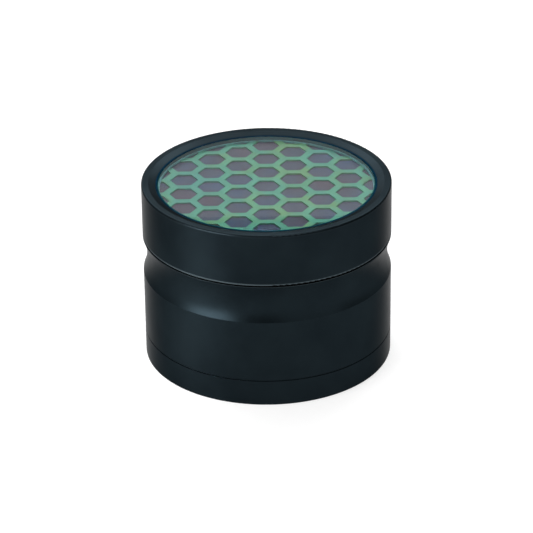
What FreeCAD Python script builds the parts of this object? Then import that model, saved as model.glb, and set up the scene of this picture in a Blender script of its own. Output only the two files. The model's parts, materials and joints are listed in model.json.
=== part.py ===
"""Four-stage hand grinder for dried herbs: windowed lid, toothed chamber, sieve stage and base cup.

Units are millimetres. +Z is up, the turning axis is Z and the origin is the centre of the base's underside.
"""

import FreeCAD
import Part

import math
import os

# Outside of the grinder
OUTER_R = 31.5
BASE_HEIGHT = 6.8
SIEVE_HEIGHT = 16.2
WAIST_HEIGHT = 10.05
LID_HEIGHT = 13.95
LID_GAP = 0.1
WAIST_DEPTH = 1.0
WAIST_LAND = 0.15
FOOT_ROUND = 0.25
RIM_ROUND = 0.45
EDGE_BREAK = 0.15
LID_EDGE_ROUND = 0.6

# Heights of the seams
Z_SIEVE = BASE_HEIGHT
Z_CHAMBER = Z_SIEVE + SIEVE_HEIGHT
Z_SHOULDER = Z_CHAMBER + WAIST_HEIGHT
Z_LID = Z_SHOULDER + LID_GAP
Z_TOP = Z_LID + LID_HEIGHT

# Screw joints between the stages, one right-hand thread and one seal at each
SOCKET_WALL = 2.95
SPIGOT_WALL = 2.4
SPIGOT_LENGTH = 4.4
SOCKET_CLEARANCE = 0.15
SOCKET_END_GAP = 0.5
THREAD_PITCH = 1.5
THREAD_TURNS = 1.35
THREAD_DEPTH = 0.5
THREAD_ROOT_WIDTH = 0.85
THREAD_CREST_WIDTH = 0.4
THREAD_FLANK_CLEARANCE = 0.12
THREAD_END_MARGIN = 0.7
THREAD_SINK = 0.3
GROOVE_LEAD_IN = 0.08
SEAL_WIRE_R = 0.48
SEAL_CLEARANCE = 0.1

# Base cup
BASE_FLOOR = 1.6
BASE_CORNER_R = 0.5
FOOT_RING = 7.5
FOOT_RECESS_DEPTH = 0.4

# Sieve stage, with a square net for its screen
SCREEN_SEAT = 1.6
SCREEN_LEDGE = 1.4
SCREEN_THICKNESS = 0.2
SCREEN_CLEARANCE = 0.2
NET_PITCH = 2.8
NET_GAP = 2.0
NET_MARGIN = 0.8
RETAINER_WIDTH = 1.2
RETAINER_HEIGHT = 1.2
RETAINER_CLEARANCE = 0.1
RETAINER_SPLIT = 4.0

# Toothed chamber
CHAMBER_CORNER_R = 0.6
FLOOR_RISE = 3.0
FLOOR_THICKNESS = 2.5
NECK_WALL = 1.8
NECK_GAP = 0.4
POST_R = 5.3
POST_GAP = 0.5
DROP_HOLE_R = 1.7
DROP_HOLE_INSET = 0.5
DROP_HOLE_COUNTS = (8, 16, 24)

# Teeth: rhombs with a draft, each on a round shank pressed into its floor
TOOTH_HALF_RADIAL = 1.45
TOOTH_HALF_TANGENT = 2.0
TOOTH_TIP_SCALE = 0.8
TOOTH_TIP_GAP = 1.5
SHANK_R = 1.0
SHANK_LENGTH = 1.2
SHANK_CLEARANCE = 0.02
TOOTH_WALL_GAP = 0.6
TOOTH_POST_GAP = 2.25
CHAMBER_TOOTH_COUNTS = (8, 12)
LID_TOOTH_COUNTS = (6, 10, 14)

# Magnets that hold the lid down
MAGNET_R = 4.0
MAGNET_THICKNESS = 1.8
MAGNET_CLEARANCE = 0.03

# Lid
RIM_WIDTH = 3.6
RIM_FLAT = 1.8
RIM_DISH_DEPTH = 0.65
SKIRT_WALL = 2.3
SKIRT_GAP = 0.9
WINDOW_RECESS = 0.7
WINDOW_THICKNESS = 2.8
WINDOW_CLEARANCE = 0.5
WINDOW_EDGE_CHAMFER = 0.25
SEAL_STRIP_GAP = 0.02
INLAY_THICKNESS = 0.4
BACKING_THICKNESS = 0.4
INLAY_CLEARANCE = 0.1
LID_WEB = 2.2

# Pierced inlay under the window: six-sided openings on a regular lattice
CELL_PITCH = 8.0
INLAY_BAR = 1.8
INLAY_RIM = 0.9
CELL_CORNER_R = 0.5
CELL_LEAST_AREA = 4.0

# Friction ring between lid and neck
RING_GROOVE_DEPTH = 0.7
RING_GROOVE_LOW = 2.5
RING_HEIGHT = 1.8
RING_CLEARANCE = 0.1

# Places worked out from the sizes above
SOCKET_R = OUTER_R - SOCKET_WALL
SPIGOT_R = SOCKET_R - SOCKET_CLEARANCE
SPIGOT_BORE_R = SPIGOT_R - SPIGOT_WALL
SIEVE_BORE_R = SPIGOT_BORE_R + SCREEN_SEAT
NET_FIELD_R = SPIGOT_BORE_R - NET_MARGIN
FOOT_RECESS_R = OUTER_R - FOOT_RING
SKIRT_BORE_R = OUTER_R - SKIRT_WALL
NECK_R = SKIRT_BORE_R - SKIRT_GAP
CHAMBER_BORE_R = NECK_R - NECK_WALL
WINDOW_BORE_R = OUTER_R - RIM_WIDTH
WINDOW_R = WINDOW_BORE_R - WINDOW_CLEARANCE
SEAL_SEAT_DEPTH = 2 * SEAL_WIRE_R + 0.4 * SEAL_CLEARANCE
SEAL_SEAT_R = SOCKET_R + 2 * SEAL_WIRE_R + 4 * SEAL_CLEARANCE
Z_SCREEN = Z_SIEVE + SCREEN_LEDGE
Z_FLOOR_UNDER = Z_CHAMBER + FLOOR_RISE
Z_FLOOR = Z_FLOOR_UNDER + FLOOR_THICKNESS
Z_WINDOW_TOP = Z_TOP - WINDOW_RECESS
Z_INLAY_TOP = Z_WINDOW_TOP - WINDOW_THICKNESS
Z_BACKING_TOP = Z_INLAY_TOP - INLAY_THICKNESS
Z_WEB_TOP = Z_BACKING_TOP - BACKING_THICKNESS
Z_CEILING = Z_WEB_TOP - LID_WEB
Z_NECK_TOP = Z_CEILING - NECK_GAP
Z_POST_TOP = Z_CEILING - POST_GAP
TOOTH_LENGTH = Z_CEILING - Z_FLOOR - TOOTH_TIP_GAP
INLAY_R = WINDOW_BORE_R - INLAY_CLEARANCE
FIRST_TOOTH_R = POST_R + TOOTH_POST_GAP + TOOTH_HALF_RADIAL
LAST_TOOTH_R = CHAMBER_BORE_R - TOOTH_WALL_GAP - TOOTH_HALF_RADIAL
TOOTH_RING_STEP = (LAST_TOOTH_R - FIRST_TOOTH_R) / 4
TOOTH_RADII = [FIRST_TOOTH_R + k * TOOTH_RING_STEP for k in range(5)]
LID_TOOTH_RINGS = list(zip(TOOTH_RADII[0::2], LID_TOOTH_COUNTS))
CHAMBER_TOOTH_RINGS = list(zip(TOOTH_RADII[1::2], CHAMBER_TOOTH_COUNTS))
DROP_HOLE_RADII = (TOOTH_RADII[0], TOOTH_RADII[2], TOOTH_RADII[4] - DROP_HOLE_INSET)
DROP_HOLE_RINGS = list(zip(DROP_HOLE_RADII, DROP_HOLE_COUNTS))
Z_RING_GROOVE = Z_LID + RING_GROOVE_LOW

AXIS = FreeCAD.Vector(0, 0, 1)
ORIGIN = FreeCAD.Vector(0, 0, 0)


def point(radius, height):
    return FreeCAD.Vector(radius, 0, height)


def polar(radius, degrees, height=0.0):
    angle = math.radians(degrees)
    return FreeCAD.Vector(radius * math.cos(angle), radius * math.sin(angle), height)


def round_corner(centre_r, centre_z, radius, start, end):
    """One arc of a turned outline: the point half way round, and the last point."""
    spots = []
    for degrees in ((start + end) / 2, end):
        angle = math.radians(degrees)
        spots.append((centre_r + radius * math.cos(angle), centre_z + radius * math.sin(angle)))
    return tuple(spots)


def turned(outline):
    """A solid turned about Z. Each entry is (r, z) for a straight line, or ((r, z), (r, z)) for an arc."""
    edges = []
    last = point(*outline[0])
    for entry in list(outline[1:]) + [outline[0]]:
        if isinstance(entry[0], tuple):
            middle, end = point(*entry[0]), point(*entry[1])
            edges.append(Part.Arc(last, middle, end).toShape())
        else:
            end = point(*entry)
            edges.append(Part.LineSegment(last, end).toShape())
        last = end
    return Part.Face(Part.Wire(edges)).revolve(ORIGIN, AXIS, 360)


def disc(radius, low, high):
    return Part.makeCylinder(radius, high - low, FreeCAD.Vector(0, 0, low))


def ring(outer, inner, low, high):
    return disc(outer, low, high).cut(disc(inner, low, high))


def helical_bar(core_r, depth, root_width, crest_width, sink, low, turns):
    """A thread form wound round a core, from the height of its first middle line."""
    slope = (root_width - crest_width) / 2 / depth
    half_root = root_width / 2 + slope * sink
    half_crest = crest_width / 2
    corners = [
        FreeCAD.Vector(core_r - sink, 0, low - half_root),
        FreeCAD.Vector(core_r + depth, 0, low - half_crest),
        FreeCAD.Vector(core_r + depth, 0, low + half_crest),
        FreeCAD.Vector(core_r - sink, 0, low + half_root),
    ]
    section = Part.makePolygon(corners + corners[:1])
    path = Part.makeHelix(THREAD_PITCH, THREAD_PITCH * turns, core_r)
    path.translate(FreeCAD.Vector(0, 0, low))
    return Part.Wire(path).makePipeShell([section], True, True)


def thread_start(seam):
    return seam - SPIGOT_LENGTH + THREAD_END_MARGIN


def add_thread(body, seam):
    """The ridge on a spigot that hangs below a seam."""
    ridge = helical_bar(SPIGOT_R, THREAD_DEPTH, THREAD_ROOT_WIDTH, THREAD_CREST_WIDTH, THREAD_SINK,
                        thread_start(seam), THREAD_TURNS)
    return body.fuse(ridge)


def blank_top(seam):
    """A socket's blank stands above its seam, so that the groove is cut before the mouth is faced off."""
    return seam + SPIGOT_LENGTH


def cut_socket(blank, seam, edge_break):
    """Cuts the groove from under the ridge past the mouth, then faces off the mouth and the seal's seat."""
    turns = (SPIGOT_LENGTH - THREAD_END_MARGIN) / THREAD_PITCH + 0.5
    spread = 2 * THREAD_FLANK_CLEARANCE
    groove = helical_bar(SOCKET_R, THREAD_DEPTH, THREAD_ROOT_WIDTH + spread, THREAD_CREST_WIDTH + spread,
                         THREAD_SINK, thread_start(seam) - GROOVE_LEAD_IN * THREAD_PITCH,
                         turns + GROOVE_LEAD_IN)
    groove.rotate(ORIGIN, AXIS, -360 * GROOVE_LEAD_IN)
    waste_r = OUTER_R + SOCKET_WALL
    waste_top = blank_top(seam) + SOCKET_WALL
    edge = [(OUTER_R, seam)]
    if edge_break:
        edge = [(OUTER_R - edge_break, seam), (OUTER_R, seam - edge_break)]
    waste = [
        (0, seam - SEAL_SEAT_DEPTH),
        (SEAL_SEAT_R, seam - SEAL_SEAT_DEPTH),
        (SEAL_SEAT_R, seam),
        *edge,
        (waste_r, seam - edge_break),
        (waste_r, waste_top),
        (0, waste_top),
    ]
    return blank.cut(groove).cut(turned(waste))


def thread_seal(seam):
    middle_r = (SOCKET_R + SEAL_SEAT_R) / 2
    return Part.makeTorus(middle_r, SEAL_WIRE_R, FreeCAD.Vector(0, 0, seam - SEAL_SEAT_DEPTH / 2))


def tooth_places(rings):
    """Middle angle and radius of every tooth. Each ring is turned so that no tooth stands on the X axis."""
    places = []
    for radius, count in rings:
        for index in range(count):
            places.append((radius, 360 * (index + 0.5) / count))
    return places


def tooth_set(rings, root, up):
    """All the teeth of one floor. up is 1 for standing teeth and -1 for hanging ones."""
    solids = []
    for radius, degrees in tooth_places(rings):
        wires = []
        for height, scale in ((root, 1.0), (root + up * TOOTH_LENGTH, TOOTH_TIP_SCALE)):
            radial = TOOTH_HALF_RADIAL * scale
            tangent = TOOTH_HALF_TANGENT * scale
            corners = [(radius + radial, 0), (radius, tangent), (radius - radial, 0), (radius, -tangent)]
            spots = [FreeCAD.Vector(x, y, height) for x, y in corners]
            wires.append(Part.makePolygon(spots + spots[:1]))
        blade = Part.makeLoft(wires, True, True)
        shank = Part.makeCylinder(SHANK_R, SHANK_LENGTH, FreeCAD.Vector(radius, 0, root), AXIS * -up)
        solid = blade.fuse(shank)
        solid.rotate(ORIGIN, AXIS, degrees)
        solids.append(solid.Solids[0])
    return Part.makeCompound(solids)


def shank_holes(rings, root, up):
    holes = []
    for radius, degrees in tooth_places(rings):
        spot = polar(radius, degrees, root)
        holes.append(Part.makeCylinder(SHANK_R + SHANK_CLEARANCE, SHANK_LENGTH, spot, AXIS * -up))
    return holes


def base_cup():
    outline = [
        (0, FOOT_RECESS_DEPTH),
        (FOOT_RECESS_R, FOOT_RECESS_DEPTH),
        (FOOT_RECESS_R + FOOT_RECESS_DEPTH, 0),
        (OUTER_R - FOOT_ROUND, 0),
        round_corner(OUTER_R - FOOT_ROUND, FOOT_ROUND, FOOT_ROUND, -90, 0),
        (OUTER_R, blank_top(Z_SIEVE)),
        (SOCKET_R, blank_top(Z_SIEVE)),
        (SOCKET_R, BASE_FLOOR + BASE_CORNER_R),
        round_corner(SOCKET_R - BASE_CORNER_R, BASE_FLOOR + BASE_CORNER_R, BASE_CORNER_R, 0, -90),
        (0, BASE_FLOOR),
    ]
    return cut_socket(turned(outline), Z_SIEVE, EDGE_BREAK)


def sieve_ring():
    socket_end = Z_CHAMBER - SPIGOT_LENGTH - SOCKET_END_GAP
    outline = [
        (SPIGOT_BORE_R, Z_SIEVE - SPIGOT_LENGTH),
        (SPIGOT_R, Z_SIEVE - SPIGOT_LENGTH),
        (SPIGOT_R, Z_SIEVE),
        (OUTER_R - EDGE_BREAK, Z_SIEVE),
        (OUTER_R, Z_SIEVE + EDGE_BREAK),
        (OUTER_R, blank_top(Z_CHAMBER)),
        (SOCKET_R, blank_top(Z_CHAMBER)),
        (SOCKET_R, socket_end),
        (SIEVE_BORE_R, socket_end - (SOCKET_R - SIEVE_BORE_R)),
        (SIEVE_BORE_R, Z_SCREEN),
        (SPIGOT_BORE_R, Z_SCREEN),
    ]
    return add_thread(cut_socket(turned(outline), Z_CHAMBER, 0), Z_SIEVE)


def screen_mesh():
    """A disc with square gaps on a grid, kept clear of the clamped margin."""
    outline = Part.Wire(Part.makeCircle(SIEVE_BORE_R - SCREEN_CLEARANCE, point(0, Z_SCREEN)))
    reach = int(NET_FIELD_R / NET_PITCH)
    half = NET_GAP / 2
    gaps = []
    corners = ((-half, -half), (half, -half), (half, half), (-half, half))
    for column in range(-reach, reach + 1):
        for row in range(-reach, reach + 1):
            x, y = column * NET_PITCH, row * NET_PITCH
            if math.hypot(abs(x) + half, abs(y) + half) > NET_FIELD_R:
                continue
            spots = [FreeCAD.Vector(x + a, y + b, Z_SCREEN) for a, b in corners]
            gaps.append(Part.makePolygon(spots + spots[:1]))
    face = Part.Face([outline] + gaps, "Part::FaceMakerBullseye")
    return face.extrude(FreeCAD.Vector(0, 0, SCREEN_THICKNESS))


def screen_retainer():
    """A split spring ring that holds the screen down on its ledge."""
    low = Z_SCREEN + SCREEN_THICKNESS
    outer = SIEVE_BORE_R - RETAINER_CLEARANCE
    hoop = ring(outer, outer - RETAINER_WIDTH, low, low + RETAINER_HEIGHT)
    split = Part.makeBox(2 * RETAINER_WIDTH, RETAINER_SPLIT, RETAINER_HEIGHT)
    split.translate(FreeCAD.Vector(outer - 1.5 * RETAINER_WIDTH, -RETAINER_SPLIT / 2, low))
    return hoop.cut(split)


def grind_chamber():
    """Waisted chamber with a pierced floor and a centre post for its magnet."""
    waist_low = Z_CHAMBER + WAIST_LAND
    waist_high = Z_SHOULDER - WAIST_LAND
    waist = ((OUTER_R - WAIST_DEPTH, (waist_low + waist_high) / 2), (OUTER_R, waist_high))
    corner = round_corner(CHAMBER_BORE_R - CHAMBER_CORNER_R, Z_FLOOR + CHAMBER_CORNER_R,
                          CHAMBER_CORNER_R, 0, -90)
    outline = [
        (SPIGOT_BORE_R, Z_CHAMBER - SPIGOT_LENGTH),
        (SPIGOT_R, Z_CHAMBER - SPIGOT_LENGTH),
        (SPIGOT_R, Z_CHAMBER),
        (OUTER_R, Z_CHAMBER),
        (OUTER_R, waist_low),
        waist,
        (OUTER_R, Z_SHOULDER),
        (NECK_R, Z_SHOULDER),
        (NECK_R, Z_NECK_TOP - EDGE_BREAK),
        (NECK_R - EDGE_BREAK, Z_NECK_TOP),
        (CHAMBER_BORE_R, Z_NECK_TOP),
        (CHAMBER_BORE_R, Z_FLOOR + CHAMBER_CORNER_R),
        corner,
        (POST_R, Z_FLOOR),
        (POST_R, Z_POST_TOP - EDGE_BREAK),
        (POST_R - EDGE_BREAK, Z_POST_TOP),
        (0, Z_POST_TOP),
        (0, Z_FLOOR_UNDER),
        (SPIGOT_BORE_R, Z_FLOOR_UNDER),
    ]
    body = add_thread(turned(outline), Z_CHAMBER)
    cuts = [disc(MAGNET_R + MAGNET_CLEARANCE, Z_POST_TOP - MAGNET_THICKNESS, Z_POST_TOP)]
    for radius, count in DROP_HOLE_RINGS:
        for index in range(count):
            spot = polar(radius, 360 * index / count, Z_FLOOR_UNDER)
            cuts.append(Part.makeCylinder(DROP_HOLE_R, FLOOR_THICKNESS, spot))
    cuts += shank_holes(CHAMBER_TOOTH_RINGS, Z_FLOOR, 1)
    return body.cut(Part.makeCompound(cuts))


def chamber_magnet():
    return disc(MAGNET_R, Z_POST_TOP - MAGNET_THICKNESS, Z_POST_TOP)


def lid_shell():
    """Lid: skirt, dished rim, web, the window's recess and the groove of the friction ring."""
    groove_r = SKIRT_BORE_R + RING_GROOVE_DEPTH
    groove_top = Z_RING_GROOVE + RING_HEIGHT + 2 * RING_CLEARANCE
    outline = [
        (SKIRT_BORE_R, Z_LID),
        (OUTER_R - LID_EDGE_ROUND, Z_LID),
        round_corner(OUTER_R - LID_EDGE_ROUND, Z_LID + LID_EDGE_ROUND, LID_EDGE_ROUND, -90, 0),
        (OUTER_R, Z_TOP - RIM_ROUND),
        round_corner(OUTER_R - RIM_ROUND, Z_TOP - RIM_ROUND, RIM_ROUND, 0, 90),
        (OUTER_R - RIM_FLAT, Z_TOP),
        (WINDOW_BORE_R, Z_TOP - RIM_DISH_DEPTH),
        (WINDOW_BORE_R, Z_WEB_TOP),
        (0, Z_WEB_TOP),
        (0, Z_CEILING),
        (SKIRT_BORE_R, Z_CEILING),
        (SKIRT_BORE_R, groove_top),
        (groove_r, groove_top),
        (groove_r, Z_RING_GROOVE),
        (SKIRT_BORE_R, Z_RING_GROOVE),
    ]
    pocket = disc(MAGNET_R + MAGNET_CLEARANCE, Z_CEILING, Z_CEILING + MAGNET_THICKNESS)
    cuts = [pocket] + shank_holes(LID_TOOTH_RINGS, Z_CEILING, -1)
    return turned(outline).cut(Part.makeCompound(cuts))


def friction_ring():
    low = Z_RING_GROOVE + RING_CLEARANCE
    outer = SKIRT_BORE_R + RING_GROOVE_DEPTH - RING_CLEARANCE
    return ring(outer, NECK_R + RING_CLEARANCE, low, low + RING_HEIGHT)


def lid_inlay():
    """Thin disc pierced with six-sided cells that its rim clips."""
    rim_r = INLAY_R - INLAY_RIM
    field = disc(rim_r, Z_BACKING_TOP, Z_INLAY_TOP)
    corner_r = ((CELL_PITCH - INLAY_BAR) / 2 - CELL_CORNER_R) / math.cos(math.radians(30))
    spots = [polar(corner_r, 60 * k, Z_BACKING_TOP) for k in range(6)]
    outline = Part.makePolygon(spots + spots[:1]).makeOffset2D(CELL_CORNER_R)
    cell = Part.Face(outline).extrude(FreeCAD.Vector(0, 0, INLAY_THICKNESS))
    reach = int(rim_r / CELL_PITCH * 1.2) + 1
    cells = []
    for a in range(-reach, reach + 1):
        for b in range(-reach, reach + 1):
            place = polar(CELL_PITCH * a, 30) + polar(CELL_PITCH * b, 90)
            if place.Length > rim_r + CELL_PITCH:
                continue
            opening = cell.translated(place).common(field)
            if opening.Volume > CELL_LEAST_AREA * INLAY_THICKNESS:
                cells.append(opening)
    return disc(INLAY_R, Z_BACKING_TOP, Z_INLAY_TOP).cut(Part.makeCompound(cells))


def inlay_backing():
    return disc(INLAY_R, Z_WEB_TOP, Z_BACKING_TOP)


def lid_magnet():
    return disc(MAGNET_R, Z_CEILING, Z_CEILING + MAGNET_THICKNESS)


def lid_window():
    outline = [
        (0, Z_INLAY_TOP),
        (WINDOW_R, Z_INLAY_TOP),
        (WINDOW_R, Z_WINDOW_TOP - WINDOW_EDGE_CHAMFER),
        (WINDOW_R - WINDOW_EDGE_CHAMFER, Z_WINDOW_TOP),
        (0, Z_WINDOW_TOP),
    ]
    return turned(outline)


def window_seal():
    """Thin strip of cured sealant between the window's edge and the lid's bore."""
    return ring(WINDOW_BORE_R - SEAL_STRIP_GAP, WINDOW_R + SEAL_STRIP_GAP, Z_INLAY_TOP, Z_WINDOW_TOP)


PIECES = {
    "base_cup": base_cup(),
    "sieve_seal": thread_seal(Z_SIEVE),
    "sieve_ring": sieve_ring(),
    "screen_mesh": screen_mesh(),
    "screen_retainer": screen_retainer(),
    "chamber_seal": thread_seal(Z_CHAMBER),
    "grind_chamber": grind_chamber(),
    "chamber_teeth": tooth_set(CHAMBER_TOOTH_RINGS, Z_FLOOR, 1),
    "chamber_magnet": chamber_magnet(),
    "friction_ring": friction_ring(),
    "lid_shell": lid_shell(),
    "lid_teeth": tooth_set(LID_TOOTH_RINGS, Z_CEILING, -1),
    "lid_magnet": lid_magnet(),
    "inlay_backing": inlay_backing(),
    "lid_inlay": lid_inlay(),
    "lid_window": lid_window(),
    "window_seal": window_seal(),
}

os.makedirs("parts", exist_ok=True)
for node, shape in PIECES.items():
    if not shape.isValid():
        raise ValueError(f"{node} is not a valid solid")
    if len(shape.Solids) == 1:
        shape = shape.Solids[0]
    shape.exportStep(f"parts/{node}.step")
    print(f"{node}: {len(shape.Solids)} solid, {shape.Volume:.1f} mm3")
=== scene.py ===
"""Looks of the hand grinder: black anodised body, clear window over an iridescent lattice, studio light."""

import json
import math

import bmesh
import bpy
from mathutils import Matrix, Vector


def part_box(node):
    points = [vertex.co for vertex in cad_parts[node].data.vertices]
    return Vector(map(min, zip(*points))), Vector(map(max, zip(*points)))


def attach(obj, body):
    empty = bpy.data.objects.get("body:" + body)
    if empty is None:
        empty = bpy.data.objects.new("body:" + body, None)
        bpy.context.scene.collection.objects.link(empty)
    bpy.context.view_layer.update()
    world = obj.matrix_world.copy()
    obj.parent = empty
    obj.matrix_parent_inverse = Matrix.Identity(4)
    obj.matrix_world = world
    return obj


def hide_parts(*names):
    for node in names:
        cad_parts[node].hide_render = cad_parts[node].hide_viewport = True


# Lengths are in metres unless a comment says otherwise, and this turns millimetres into metres
MM = 0.001

# Camera, as fitted to the outline in the photograph: angles in degrees, lens and sensor in millimetres
VIEW_TARGET = Vector((0.0, 0.0, 23.3 * MM))
VIEW_DISTANCE = 730 * MM
VIEW_ELEVATION = 27.34
VIEW_ROLL = -0.69
VIEW_LENS = 193.45
VIEW_SENSOR = 36.0
VIEW_SHIFT = (-0.00161, -0.00512)
VIEW_NEAREST = 10 * MM

# Window pane, raised a hair off the lattice so that no two faces share a plane, with its top edge broken
PANE_LIFT = 0.05 * MM
PANE_BEVEL = 0.25 * MM
PANE_STEPS = 180
# Faces whose normal is less upright than this belong to the lacquered edge
EDGE_UPRIGHT = 0.8

# Painted highlight band, from a little below the lid's lower edge, on the shoulder, to a little above it
HIGHLIGHT_BELOW = 0.2 * MM
HIGHLIGHT_ABOVE = 0.8 * MM
HIGHLIGHT_FADE_LOW = 0.15 * MM
HIGHLIGHT_FADE_HIGH = 0.25 * MM

# Lid's rim, this far down from its top, where a painted sheen lightens the dye by this share
RIM_DEPTH = 0.8 * MM
RIM_FADE = 0.3 * MM
RIM_SHEEN = 0.06

# Pale border stamped round the lattice
BORDER_WIDTH = 1.1 * MM
BORDER_FADE = 0.2 * MM

# Distance over which the foil's colours drift, under the lattice and on it, and how far each is shifted
GROUND_DRIFT = 15 * MM
LATTICE_DRIFT = 13 * MM
GROUND_SHIFT = 0.0
LATTICE_SHIFT = 40 * MM

# Pattern sizes of the finishes
TURNING_PITCH = 0.25 * MM
BLAST_GRAIN = 0.12 * MM
HANDLING_PATCH = 14 * MM
STAMPING_GRAIN = 0.3 * MM
WIPE_MARK = 4 * MM
SAW_MARK = 0.4 * MM
SEALANT_CLOUD = 2 * MM
WIRE_PITCH = 0.35 * MM
TARNISH_PATCH = 6 * MM
NICKEL_SCUFF = 1.5 * MM
POLYMER_GRAIN = 0.2 * MM

# Length of one band of a wave pattern at a scale of 1
BAND_LENGTH = 2 * math.pi / 20

# Values between which nearly all of a noise pattern lies
NOISE_LOW = 0.3
NOISE_MIDDLE = 0.5
NOISE_HIGH = 0.7

# Floor, a hair below the foot so that no two faces share a plane, and a dim room
FLOOR_R = 6.0
FLOOR_STEPS = 96
FLOOR_DROP = 0.02 * MM
FLOOR_GLOW = 0.62
ROOM_LIGHT = 0.15

# Beams of the lamps, in degrees. The narrow one brightens the floor to the left, and the walls mirror that
# as a soft upright band.
OPEN_BEAM = 180
SPILL_BEAM = 8

# Points nearer than this are one point, and edges sharper than this angle, in degrees, stay crisp
MERGE_DISTANCE = 0.001 * MM
CRISP_ANGLE = 30

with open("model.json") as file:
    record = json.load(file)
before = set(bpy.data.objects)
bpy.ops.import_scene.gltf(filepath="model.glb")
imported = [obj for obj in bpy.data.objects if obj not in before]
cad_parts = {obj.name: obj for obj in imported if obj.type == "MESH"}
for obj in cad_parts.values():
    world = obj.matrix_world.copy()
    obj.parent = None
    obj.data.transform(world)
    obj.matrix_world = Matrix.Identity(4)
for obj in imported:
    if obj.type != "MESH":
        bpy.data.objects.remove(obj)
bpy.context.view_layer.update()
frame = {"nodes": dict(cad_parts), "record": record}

# Places of the window, the lid and the lattice in the frame
pane_low, pane_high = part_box("lid_window")
lid_low, lid_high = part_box("lid_shell")
lattice_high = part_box("lid_inlay")[1]
pane_r = pane_high[0]
pane_bottom = pane_low[2] + PANE_LIFT
pane_top = pane_high[2]
# Heights of the painted highlight band at the lid's lower edge
highlight_low = lid_low[2] - HIGHLIGHT_BELOW
highlight_high = lid_low[2] + HIGHLIGHT_ABOVE
rim_low = lid_high[2] - RIM_DEPTH
border_r = lattice_high[0] - BORDER_WIDTH


def srgb(code):
    """Linear colour of an sRGB hex value."""
    parts = [int(code[k:k + 2], 16) / 255 for k in (1, 3, 5)]
    linear = [v / 12.92 if v <= 0.04045 else ((v + 0.055) / 1.055) ** 2.4 for v in parts]
    return (*linear, 1.0)


def add(tree, kind, settings=None, **links):
    """Adds a node with its settings, which are ramp stops, properties or socket values, and its links.

    A link is an output, named for the socket it feeds, with _ for a space, or for its number, as in _0.
    """
    node = tree.nodes.new(kind)
    for key, value in (settings or {}).items():
        if key == "stops":
            points = node.color_ramp.elements
            while len(points) < len(value):
                points.new(NOISE_MIDDLE)
            for point, (place, code) in zip(points, value):
                point.position = place
                point.color = srgb(code)
        elif isinstance(key, str) and hasattr(node, key):
            setattr(node, key, value)
        else:
            node.inputs[key].default_value = value
    for key, source in links.items():
        socket = int(key[1:]) if key[1:].isdigit() else key.replace("_", " ")
        tree.links.new(source, node.inputs[socket])
    return node


def new_material(name):
    """An empty material and its node tree."""
    material = bpy.data.materials.new(name)
    material.use_nodes = True
    material.node_tree.nodes.clear()
    return material, material.node_tree


def close_material(tree, shader):
    """Makes a shader the surface of its material."""
    add(tree, "ShaderNodeOutputMaterial", Surface=shader.outputs[0])


# Black anodised aluminium, turned on a lathe and bead blasted fine before it was dyed.
# The eye sees a blue-black satin skin, faint turning rings and soft, broad highlights.
# Where asked for, a painted sheen makes the lid's rim a little paler, and a painted highlight runs as a band
# where the lid's lower edge turns on the shoulder.
def anodised_aluminium(name, painted_sheen):
    material, tree = new_material(name)
    place = add(tree, "ShaderNodeTexCoord").outputs["Object"]
    # Turning rings, drawn as bands along the height
    rings = add(tree, "ShaderNodeTexWave",
                {"wave_type": "BANDS", "bands_direction": "Z", "Scale": BAND_LENGTH / TURNING_PITCH,
                 "Distortion": 1.5, "Detail": 2.0, "Detail Scale": 1.0}, Vector=place)
    # Blast grain, and a slow change of sheen from handling
    grain = add(tree, "ShaderNodeTexNoise", {"Scale": 1 / BLAST_GRAIN, "Detail": 2.0, "Roughness": 0.6},
                Vector=place)
    handling = add(tree, "ShaderNodeTexNoise",
                   {"Scale": 1 / HANDLING_PATCH, "Detail": 3.0, "Roughness": 0.55}, Vector=place)
    ring_share = 0.35
    relief = add(tree, "ShaderNodeMath", {"operation": "MULTIPLY_ADD", 1: ring_share},
                 _0=rings.outputs["Fac"], _2=grain.outputs["Fac"])
    bump = add(tree, "ShaderNodeBump", {"Strength": 0.06, "Distance": 0.02 * MM}, Height=relief.outputs[0])
    rough = add(tree, "ShaderNodeMapRange",
                {"From Min": NOISE_LOW, "From Max": NOISE_HIGH, "To Min": 0.32, "To Max": 0.38},
                Value=handling.outputs["Fac"])
    dye = add(tree, "ShaderNodeValToRGB", {"stops": [(NOISE_LOW, "#141b1f"), (NOISE_HIGH, "#1a2226")]},
              Fac=handling.outputs["Fac"])
    colour = dye.outputs["Color"]
    # Painted light: a paler colour mixed into the dye as a painted highlight band at the lid's lower edge
    # and a painted sheen on the rim
    if painted_sheen:
        height = add(tree, "ShaderNodeSeparateXYZ", Vector=place).outputs["Z"]
        above = add(tree, "ShaderNodeMapRange",
                    {"From Min": highlight_low, "From Max": highlight_low + HIGHLIGHT_FADE_LOW}, Value=height)
        below = add(tree, "ShaderNodeMapRange",
                    {"From Min": highlight_high, "From Max": highlight_high - HIGHLIGHT_FADE_HIGH}, Value=height)
        band = add(tree, "ShaderNodeMath", {"operation": "MULTIPLY"},
                   _0=above.outputs["Result"], _1=below.outputs["Result"])
        # Painted sheen: the rim's top is mixed a little toward the paler colour
        rim = add(tree, "ShaderNodeMapRange",
                  {"From Min": rim_low, "From Max": rim_low + RIM_FADE, "To Max": RIM_SHEEN}, Value=height)
        sheen_share = add(tree, "ShaderNodeMath", {"operation": "MAXIMUM"},
                   _0=band.outputs[0], _1=rim.outputs["Result"])
        sheened = add(tree, "ShaderNodeMix", {"data_type": "RGBA", 7: srgb("#465055")},
                      _0=sheen_share.outputs[0], _6=colour)
        colour = sheened.outputs[2]
    shader = add(tree, "ShaderNodeBsdfPrincipled", {"Metallic": 1.0, "Specular Tint": srgb("#bcbcbc")},
                 Base_Color=colour, Roughness=rough.outputs["Result"], Normal=bump.outputs["Normal"])
    close_material(tree, shader)
    return material


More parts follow.
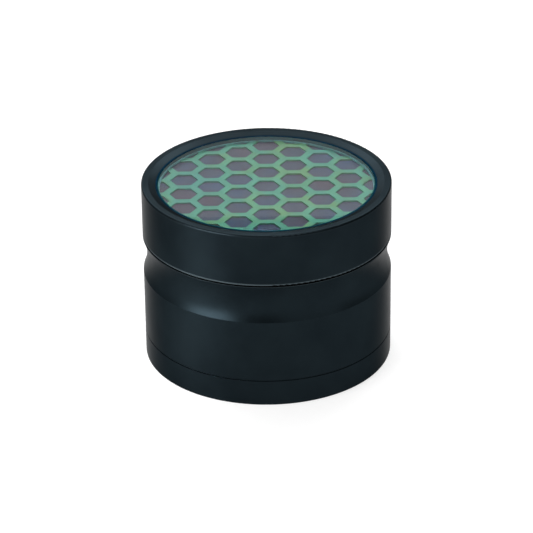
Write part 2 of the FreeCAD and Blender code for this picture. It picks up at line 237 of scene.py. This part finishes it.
# Iridescent foil, hot stamped over a smooth lacquer. Its colour drifts slowly from place to place, and the
# border stamped round the lattice is a pale cyan.
def iridescent_foil(name, colours, drift_length, shift, bordered):
    material, tree = new_material(name)
    place = add(tree, "ShaderNodeTexCoord").outputs["Object"]
    shifted = add(tree, "ShaderNodeMapping", {"Location": (shift, 0.0, 0.0)}, Vector=place)
    drift = add(tree, "ShaderNodeTexNoise",
                {"Scale": 1 / drift_length, "Detail": 2.0, "Roughness": 0.5, "Distortion": 0.6},
                Vector=shifted.outputs["Vector"])
    stops = list(zip((NOISE_LOW, NOISE_MIDDLE, NOISE_HIGH), colours))
    colour = add(tree, "ShaderNodeValToRGB", {"stops": stops}, Fac=drift.outputs["Fac"]).outputs["Color"]
    if bordered:
        flat = add(tree, "ShaderNodeVectorMath", {"operation": "MULTIPLY", 1: (1.0, 1.0, 0.0)}, _0=place)
        radius = add(tree, "ShaderNodeVectorMath", {"operation": "LENGTH"}, _0=flat.outputs["Vector"])
        border = add(tree, "ShaderNodeMapRange", {"From Min": border_r, "From Max": border_r + BORDER_FADE},
                     Value=radius.outputs["Value"])
        stamped = add(tree, "ShaderNodeMix", {"data_type": "RGBA", 7: srgb("#86d2ce")},
                      _0=border.outputs["Result"], _6=colour)
        colour = stamped.outputs[2]
    grain = add(tree, "ShaderNodeTexNoise", {"Scale": 1 / STAMPING_GRAIN, "Detail": 2.0, "Roughness": 0.6},
                Vector=place)
    bump = add(tree, "ShaderNodeBump", {"Strength": 0.08, "Distance": 0.03 * MM},
               Height=grain.outputs["Fac"])
    shader = add(tree, "ShaderNodeBsdfPrincipled",
                 {"Metallic": 0.1, "Roughness": 0.4, "Specular IOR Level": 0.12},
                 Base_Color=colour, Normal=bump.outputs["Normal"])
    close_material(tree, shader)
    return material


# Cast acrylic, polished: clear, with a sharp reflection and almost no colour of its own.
def clear_acrylic():
    material, tree = new_material("clear_cast_acrylic")
    place = add(tree, "ShaderNodeTexCoord").outputs["Object"]
    # Wipe marks that only dull the polish a little
    wipes = add(tree, "ShaderNodeTexNoise", {"Scale": 1 / WIPE_MARK, "Detail": 4.0, "Roughness": 0.6},
                Vector=place)
    rough = add(tree, "ShaderNodeMapRange",
                {"From Min": 0.4, "From Max": 0.8, "To Min": 0.0, "To Max": 0.03},
                Value=wipes.outputs["Fac"])
    shader = add(tree, "ShaderNodeBsdfPrincipled",
                 {"Base Color": srgb("#f4faff"), "IOR": 1.49, "Transmission Weight": 1.0},
                 Roughness=rough.outputs["Result"])
    close_material(tree, shader)
    return material


# The window's sawn edge, sealed with a dark teal lacquer that the saw marks show through.
def lacquered_edge():
    material, tree = new_material("lacquered_acrylic_edge")
    place = add(tree, "ShaderNodeTexCoord").outputs["Object"]
    marks = add(tree, "ShaderNodeTexNoise", {"Scale": 1 / SAW_MARK, "Detail": 2.0}, Vector=place)
    colour = add(tree, "ShaderNodeValToRGB", {"stops": [(NOISE_LOW, "#0a5254"), (NOISE_HIGH, "#0f5e60")]},
                 Fac=marks.outputs["Fac"])
    shader = add(tree, "ShaderNodeBsdfPrincipled", {"Roughness": 0.6, "Specular IOR Level": 0.1},
                 Base_Color=colour.outputs["Color"])
    close_material(tree, shader)
    return material


# Cured sealant round the window: dark blue and slightly cloudy.
def blue_sealant():
    material, tree = new_material("blue_cured_sealant")
    place = add(tree, "ShaderNodeTexCoord").outputs["Object"]
    cloud = add(tree, "ShaderNodeTexNoise", {"Scale": 1 / SEALANT_CLOUD, "Detail": 2.0}, Vector=place)
    colour = add(tree, "ShaderNodeValToRGB", {"stops": [(NOISE_LOW, "#0a2433"), (NOISE_HIGH, "#0f2e41")]},
                 Fac=cloud.outputs["Fac"])
    shader = add(tree, "ShaderNodeBsdfPrincipled", {"Roughness": 0.7, "Specular IOR Level": 0.0},
                 Base_Color=colour.outputs["Color"])
    close_material(tree, shader)
    return material


# Stainless steel wire, drawn and woven: bright, lightly tarnished in patches.
def stainless_steel():
    material, tree = new_material("stainless_steel_wire")
    place = add(tree, "ShaderNodeTexCoord").outputs["Object"]
    # The cloth's wires, drawn coarser than real ones so that they show
    weave = add(tree, "ShaderNodeTexChecker", {"Scale": 1 / WIRE_PITCH}, Vector=place)
    bump = add(tree, "ShaderNodeBump", {"Strength": 0.3, "Distance": 0.05 * MM}, Height=weave.outputs["Fac"])
    tarnish = add(tree, "ShaderNodeTexNoise", {"Scale": 1 / TARNISH_PATCH, "Detail": 3.0}, Vector=place)
    colour = add(tree, "ShaderNodeValToRGB", {"stops": [(NOISE_LOW, "#a9a8a4"), (NOISE_HIGH, "#c4c3bf")]},
                 Fac=tarnish.outputs["Fac"])
    shader = add(tree, "ShaderNodeBsdfPrincipled", {"Metallic": 1.0, "Roughness": 0.3},
                 Base_Color=colour.outputs["Color"], Normal=bump.outputs["Normal"])
    close_material(tree, shader)
    return material


# Nickel plate on a sintered magnet: bright and a little warm, with soft scuffs.
def nickel_plate():
    material, tree = new_material("nickel_plate")
    place = add(tree, "ShaderNodeTexCoord").outputs["Object"]
    scuffs = add(tree, "ShaderNodeTexNoise", {"Scale": 1 / NICKEL_SCUFF, "Detail": 4.0, "Roughness": 0.65},
                 Vector=place)
    colour = add(tree, "ShaderNodeValToRGB", {"stops": [(NOISE_LOW, "#b5b0a6"), (NOISE_HIGH, "#cfcbc2")]},
                 Fac=scuffs.outputs["Fac"])
    rough = add(tree, "ShaderNodeMapRange",
                {"From Min": NOISE_LOW, "From Max": NOISE_HIGH, "To Min": 0.14, "To Max": 0.28},
                Value=scuffs.outputs["Fac"])
    shader = add(tree, "ShaderNodeBsdfPrincipled", {"Metallic": 1.0},
                 Base_Color=colour.outputs["Color"], Roughness=rough.outputs["Result"])
    close_material(tree, shader)
    return material


# A soft polymer with a fine matte grain: moulded silicone for the seals, skived PTFE for the friction ring.
def soft_polymer(name, dark, light, roughness):
    material, tree = new_material(name)
    place = add(tree, "ShaderNodeTexCoord").outputs["Object"]
    grain = add(tree, "ShaderNodeTexNoise", {"Scale": 1 / POLYMER_GRAIN, "Detail": 3.0, "Roughness": 0.6},
                Vector=place)
    colour = add(tree, "ShaderNodeValToRGB", {"stops": [(NOISE_LOW, dark), (NOISE_HIGH, light)]},
                 Fac=grain.outputs["Fac"])
    bump = add(tree, "ShaderNodeBump", {"Strength": 0.15, "Distance": 0.02 * MM},
               Height=grain.outputs["Fac"])
    shader = add(tree, "ShaderNodeBsdfPrincipled", {"Roughness": roughness, "IOR": 1.42},
                 Base_Color=colour.outputs["Color"], Normal=bump.outputs["Normal"])
    close_material(tree, shader)
    return material


# Matte pale grey studio paper. A little light of its own, seen by the camera, in reflections and through
# the window, takes it to white.
def studio_paper():
    material, tree = new_material("studio_floor_paper")
    rays = add(tree, "ShaderNodeLightPath")
    direct = add(tree, "ShaderNodeMath", {"operation": "MAXIMUM"},
                 _0=rays.outputs["Is Camera Ray"], _1=rays.outputs["Is Glossy Ray"])
    seen = add(tree, "ShaderNodeMath", {"operation": "MAXIMUM"},
               _0=direct.outputs[0], _1=rays.outputs["Is Transmission Ray"])
    glow = add(tree, "ShaderNodeMath", {"operation": "MULTIPLY", 1: FLOOR_GLOW}, _0=seen.outputs[0])
    shader = add(tree, "ShaderNodeBsdfPrincipled",
                 {"Base Color": srgb("#b8b8b8"), "Roughness": 0.9, "Specular IOR Level": 0.0,
                  "Emission Color": srgb("#ffffff")},
                 Emission_Strength=glow.outputs[0])
    close_material(tree, shader)
    return material


def window_pane(clear, edge):
    """A clear disc with its top edge broken, spun from its outline. Its edge and chamfer are lacquered."""
    bm = bmesh.new()
    corners = [(0, pane_bottom), (pane_r, pane_bottom), (pane_r, pane_top - PANE_BEVEL),
               (pane_r - PANE_BEVEL, pane_top), (0, pane_top)]
    verts = [bm.verts.new((r, 0, z)) for r, z in corners]
    edges = [bm.edges.new(pair) for pair in zip(verts, verts[1:])]
    bmesh.ops.spin(bm, geom=verts + edges, cent=(0, 0, 0), axis=(0, 0, 1), angle=2 * math.pi,
                   steps=PANE_STEPS, use_merge=True, use_normal_flip=False, use_duplicate=False)
    bm.normal_update()
    for face in bm.faces:
        face.material_index = 1 if abs(face.normal.z) < EDGE_UPRIGHT else 0
    bmesh.ops.remove_doubles(bm, verts=bm.verts, dist=MERGE_DISTANCE)
    bmesh.ops.recalc_face_normals(bm, faces=bm.faces)
    mesh = bpy.data.meshes.new("window_pane")
    bm.to_mesh(mesh)
    bm.free()
    mesh.shade_smooth()
    mesh.set_sharp_from_angle(angle=math.radians(CRISP_ANGLE))
    mesh.materials.append(clear)
    mesh.materials.append(edge)
    piece = bpy.data.objects.new("window_pane", mesh)
    bpy.context.scene.collection.objects.link(piece)
    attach(piece, "lid")
    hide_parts("lid_window")


def studio_floor(paper):
    """A wide round floor under the foot."""
    bm = bmesh.new()
    bmesh.ops.create_circle(bm, cap_ends=True, radius=FLOOR_R, segments=FLOOR_STEPS)
    mesh = bpy.data.meshes.new("studio_floor")
    bm.to_mesh(mesh)
    bm.free()
    mesh.materials.append(paper)
    floor = bpy.data.objects.new("studio_floor", mesh)
    bpy.context.scene.collection.objects.link(floor)
    floor.location.z = -FLOOR_DROP


def studio_light():
    """Soft lamps round the object and a dim room."""
    # Name, place, point aimed at, width and height, power in watts and beam
    lamps = [
        ("overhead_softbox", (0.0, 0.1, 1.6), (0.0, 0.0, 0.0), (1.6, 1.6), 18.0, OPEN_BEAM),
        ("left_softbox", (-0.68, -0.53, 0.21), (0.0, 0.0, 0.21), (0.56, 0.40), 8.5, OPEN_BEAM),
        ("back_softbox", (0.0, 0.95, 0.37), (0.0, 0.0, 0.37), (1.4, 0.315), 0.42, OPEN_BEAM),
        ("upper_back_softbox", (0.0, 0.95, 0.90), (0.0, 0.0, 0.05), (1.4, 0.5), 13.0, OPEN_BEAM),
        ("back_left_softbox", (-0.36, 0.95, 0.36), (0.0, 0.0, 0.05), (0.36, 0.30), 1.5, OPEN_BEAM),
        ("floor_spill", (-0.45, -0.37, 0.30), (-0.082, -0.062, 0.0), (0.03, 0.03), 0.035, SPILL_BEAM),
        ("right_softbox", (0.55, -0.62, 0.21), (0.0, 0.0, 0.21), (0.9, 0.40), 1.15, OPEN_BEAM),
    ]
    for name, place, aim, size, power, beam in lamps:
        light = bpy.data.lights.new(name, "AREA")
        light.shape = "RECTANGLE"
        light.size, light.size_y = size
        light.energy = power
        light.spread = math.radians(beam)
        lamp = bpy.data.objects.new(name, light)
        lamp.location = place
        lamp.rotation_euler = (Vector(aim) - Vector(place)).to_track_quat("-Z", "Y").to_euler()
        bpy.context.scene.collection.objects.link(lamp)

    world = bpy.data.worlds.new("studio_room")
    bpy.context.scene.world = world
    world.use_nodes = True
    room = world.node_tree.nodes["Background"]
    room.inputs["Color"].default_value = srgb("#ffffff")
    room.inputs["Strength"].default_value = ROOM_LIGHT


def camera():
    """A long lens that looks down on the object from the front."""
    angle = math.radians(VIEW_ELEVATION)
    data = bpy.data.cameras.new("photo_camera")
    data.lens = VIEW_LENS
    data.sensor_width = VIEW_SENSOR
    data.shift_x, data.shift_y = VIEW_SHIFT
    data.clip_start = VIEW_NEAREST
    view = bpy.data.objects.new("photo_camera", data)
    offset = Vector((0.0, -math.cos(angle), math.sin(angle))) * VIEW_DISTANCE
    view.location = VIEW_TARGET + offset
    view.rotation_euler = (-offset).to_track_quat("-Z", "Y").to_euler()
    view.rotation_euler.rotate_axis("Z", math.radians(VIEW_ROLL))
    bpy.context.scene.collection.objects.link(view)
    bpy.context.scene.camera = view


def dress(node, finish):
    """Gives a node of the frame its finish."""
    for slot in frame["nodes"][node].material_slots:
        slot.material = finish


# Finishes by the record's slots. The window's own slot has none, because the pane stands for that node.
finishes = {
    "anodised_black": anodised_aluminium("black_anodised_aluminium", painted_sheen=False),
    "seal_silicone": soft_polymer("black_silicone", "#101010", "#191919", roughness=0.6),
    "screen_steel": stainless_steel(),
    "magnet_nickel": nickel_plate(),
    "ring_ptfe": soft_polymer("white_ptfe", "#d6d5d0", "#e4e3de", roughness=0.5),
    "backing_foil": iridescent_foil("purple_grey_foil", ("#1e3f68", "#333b54", "#493248"),
                                    GROUND_DRIFT, GROUND_SHIFT, bordered=False),
    "inlay_foil": iridescent_foil("green_foil", ("#46a58f", "#4bac86", "#6cab69"),
                                  LATTICE_DRIFT, LATTICE_SHIFT, bordered=True),
    "window_sealant": blue_sealant(),
}
for entry in frame["record"]["subparts"]:
    if entry["material_slot"] in finishes:
        dress(entry["node"], finishes[entry["material_slot"]])

# On the lid and the chamber's shoulder a painted highlight band runs along the lid's lower edge, and the
# lid's rim gets a painted sheen
sheened_aluminium = anodised_aluminium("anodised_aluminium_painted_sheen", painted_sheen=True)
dress("lid_shell", sheened_aluminium)
dress("grind_chamber", sheened_aluminium)

window_pane(clear_acrylic(), lacquered_edge())
studio_floor(studio_paper())
studio_light()
camera()
bpy.context.scene.view_settings.view_transform = "Standard"
